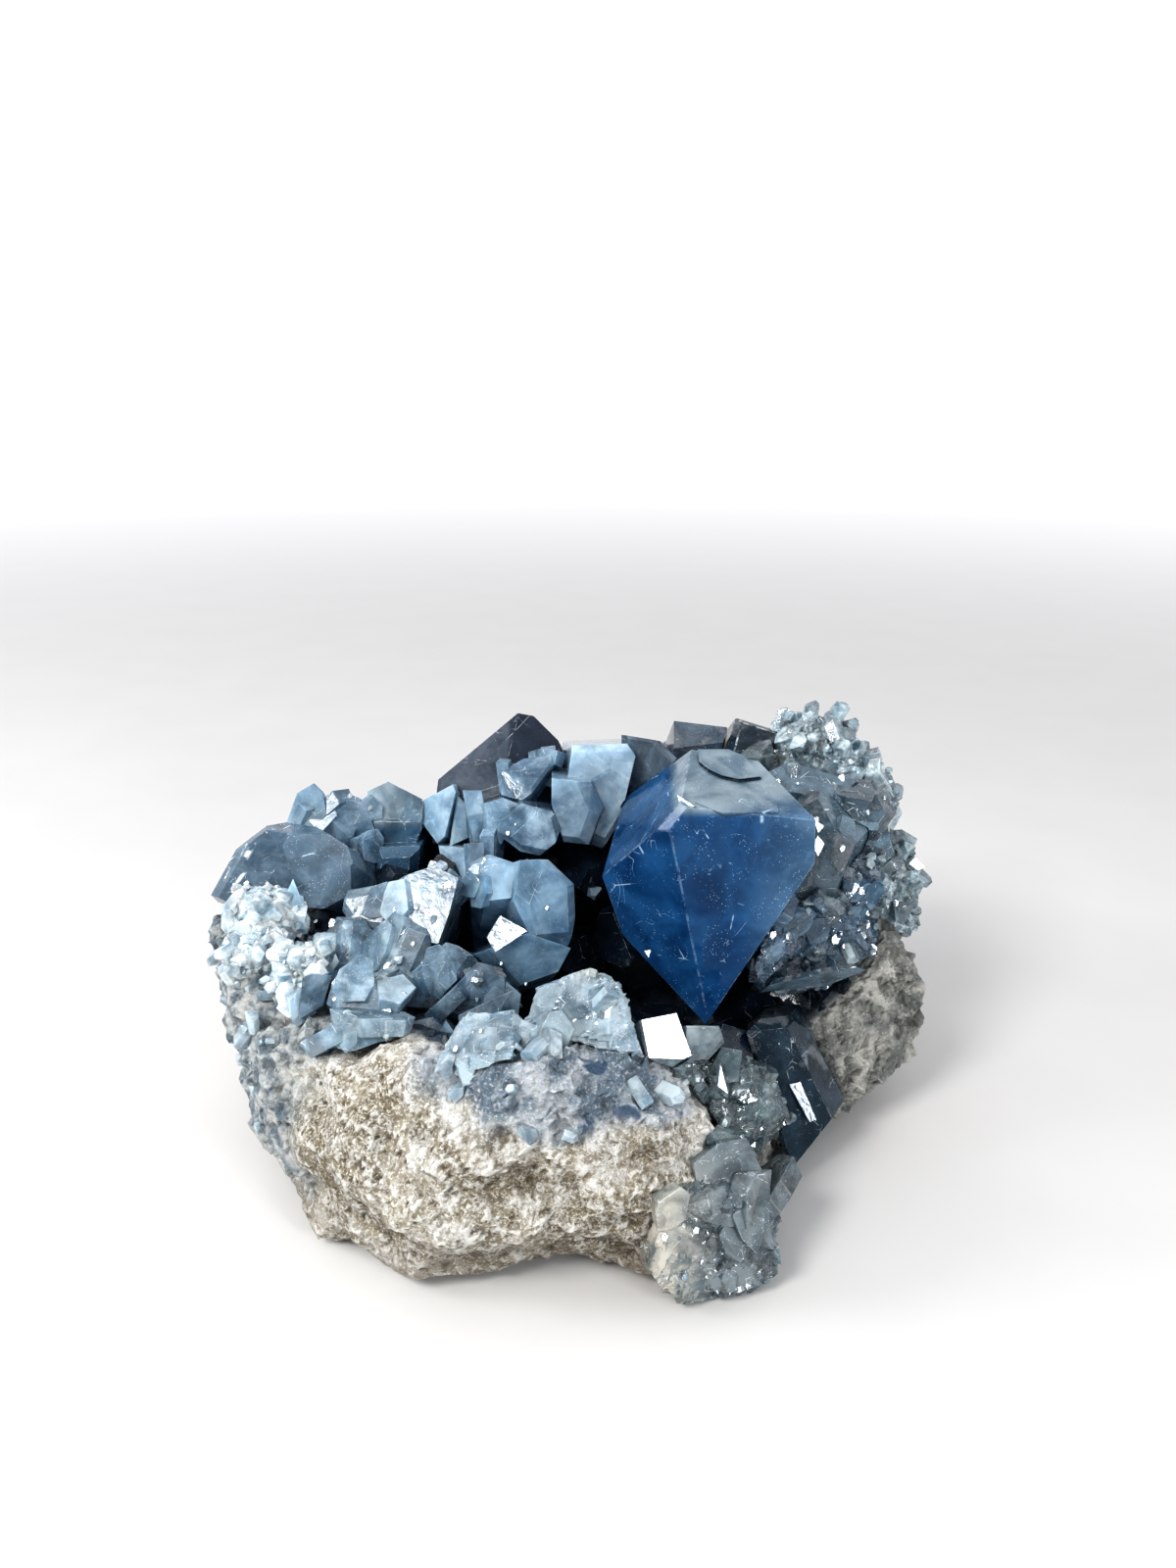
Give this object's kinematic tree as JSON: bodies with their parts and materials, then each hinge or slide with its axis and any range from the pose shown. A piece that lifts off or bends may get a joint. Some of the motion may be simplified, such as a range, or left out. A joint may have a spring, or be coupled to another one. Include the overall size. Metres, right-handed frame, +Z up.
{
  "type": "celestite geode",
  "caption": "Broken-open limestone geode, a rough bowl-shaped rind whose hollow is lined with see-through blue crystals, one much larger than the rest.",
  "frame": {"origin": "on the surface that the geode rests on, below the middle of its bounding box", "axes": "+X to the right of the open front, along the length; +Y to the back; +Z up"},
  "size_m": [0.1752, 0.15, 0.0929],
  "materials": {
    "limestone": "rough, pitted",
    "celestite": "clear to cloudy, vitreous"
  },
  "bodies": {
    "root": {"back_block": "celestite", "back_prism": "celestite", "back_rim": "celestite", "behind_great": "celestite", "blue_block": "celestite", "corner_chunk": "celestite", "dark_middle": "celestite", "deep_wall": "celestite", "front_blue_chunk": "celestite", "front_grey_crystals": "celestite", "front_knob": "celestite", "great_crystal": "celestite", "hollow_back": "celestite", "hollow_front": "celestite", "hollow_left": "celestite", "hollow_right": "celestite", "left_dome": "celestite", "left_edge_crust": "celestite", "left_peak": "celestite", "left_ridge": "celestite", "left_rim_crust": "celestite", "left_spikes": "celestite", "left_wall_crystals": "celestite", "limestone_rind": "limestone", "lit_crystals": "celestite", "middle_block": "celestite", "mirror_crystal": "celestite", "pale_cluster": "celestite", "pale_plate": "celestite", "right_block": "celestite", "right_companion": "celestite", "right_rim": "celestite", "right_slab": "celestite", "smoky_peak": "celestite", "tall_right_crystal": "celestite"}
  },
  "joints": []
}
